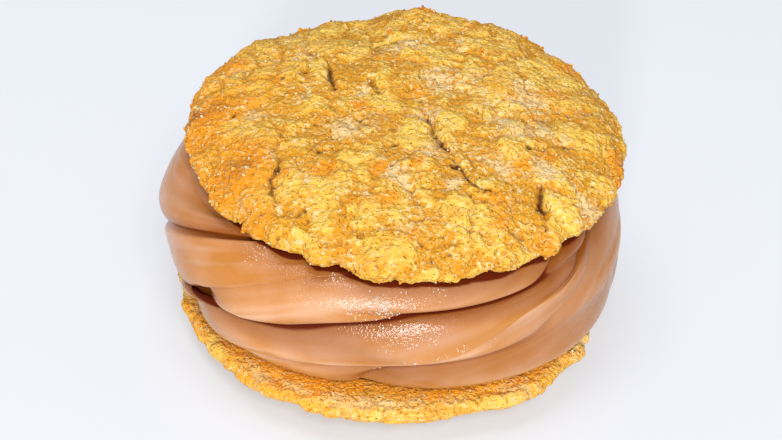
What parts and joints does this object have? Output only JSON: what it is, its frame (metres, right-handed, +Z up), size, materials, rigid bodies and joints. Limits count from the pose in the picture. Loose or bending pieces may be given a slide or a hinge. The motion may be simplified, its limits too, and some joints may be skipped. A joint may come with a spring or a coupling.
{
  "type": "ice cream sandwich",
  "caption": "Ice cream sandwich: a thick band of twisted chocolate soft-serve between two round, crackled, golden-brown sugar cookies.",
  "frame": {"origin": "middle of the flat spot on the bottom cookie's crown, on the surface that the sandwich rests on", "axes": "+Z up through the stack, -Y towards the front, where the ice cream shows most under the leaning top cookie, +X to the right"},
  "size_m": [0.0898, 0.0902, 0.0486],
  "materials": {
    "bottom_cookie": "baked sugar cookie lying upside down, browned flat base and pale rounded side, crumbly and matt",
    "ice_cream": "light milk-chocolate soft-serve, smooth with a frosty sparkle",
    "top_cookie": "baked sugar cookie, golden with browned patches, crackled crust and sugar grains"
  },
  "bodies": {
    "root": {"bottom_cookie": "bottom_cookie", "ice_cream": "ice_cream", "top_cookie": "top_cookie"}
  },
  "joints": []
}
